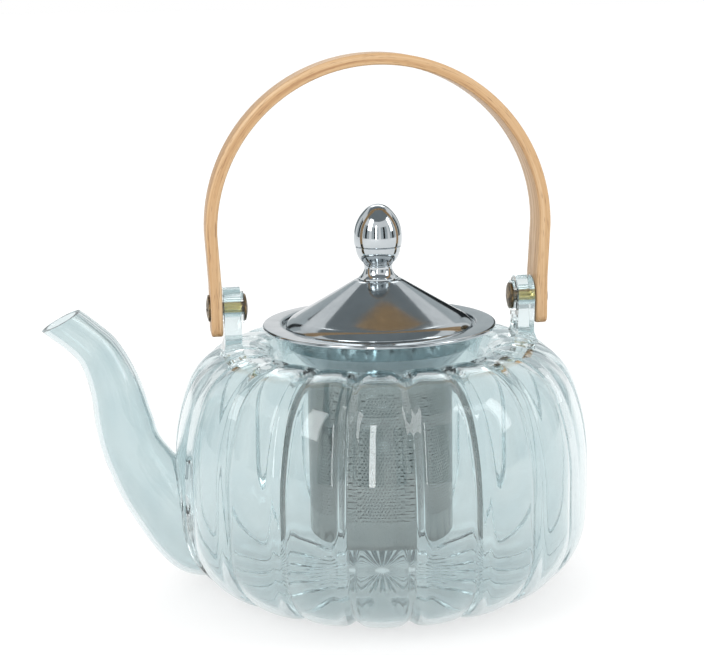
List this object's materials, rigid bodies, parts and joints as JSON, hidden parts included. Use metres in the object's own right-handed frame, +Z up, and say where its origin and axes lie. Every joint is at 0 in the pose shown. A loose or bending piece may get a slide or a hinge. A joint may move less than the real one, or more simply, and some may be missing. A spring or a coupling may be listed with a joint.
{
  "type": "glass teapot",
  "caption": "Lobed glass teapot with an S-shaped spout, a swinging bent-wood arch handle, a lift-out steel infuser basket and a conical lid with an acorn knob.",
  "frame": {"origin": "centre of the pot's underside, on its vertical axis", "axes": "+Z up; the spout points along -X; the handle swings about an axis along X"},
  "size_m": [0.2017, 0.156, 0.1988],
  "materials": {
    "clear_glass": "clear, faint blue-grey",
    "clear_silicone": "translucent",
    "aged_bronze": "aged, dark bronze",
    "bent_beech": "oiled, straight grain",
    "stainless_steel": "satin",
    "polished_steel": "mirror polished"
  },
  "bodies": {
    "pot": {"glass_body": "clear_glass", "glass_spout": "clear_glass", "lug_spout_side": "clear_glass", "lug_far_side": "clear_glass", "eye_bush_spout_side": "clear_silicone", "eye_bush_far_side": "clear_silicone"},
    "handle": {"handle_strip": "bent_beech", "inner_washer_spout_side": "clear_silicone", "spacer_washer_spout_side": "clear_silicone", "pivot_post_spout_side": "aged_bronze", "pivot_screw_spout_side": "aged_bronze", "inner_washer_far_side": "clear_silicone", "spacer_washer_far_side": "clear_silicone", "pivot_post_far_side": "aged_bronze", "pivot_screw_far_side": "aged_bronze"},
    "infuser": {"infuser_rim": "stainless_steel", "infuser_wall": "stainless_steel", "infuser_base": "stainless_steel"},
    "lid": {"lid_shell": "polished_steel", "lid_skirt": "stainless_steel", "knob": "polished_steel", "knob_washer": "stainless_steel", "knob_screw": "stainless_steel"}
  },
  "joints": [
    {"name": "handle_swing", "type": "hinge", "parent": "pot", "child": "handle", "pos_m": [0, 0, 0.1074], "axis": [1, 0, 0], "range_deg": [-110, 110]},
    {"name": "infuser_lift", "type": "slide", "parent": "pot", "child": "infuser", "axis": [0, 0, 1], "range_m": [0, 0.048]},
    {"name": "lid_lift", "type": "slide", "parent": "infuser", "child": "lid", "axis": [0, 0, 1], "range_m": [0, 0.048]}
  ]
}
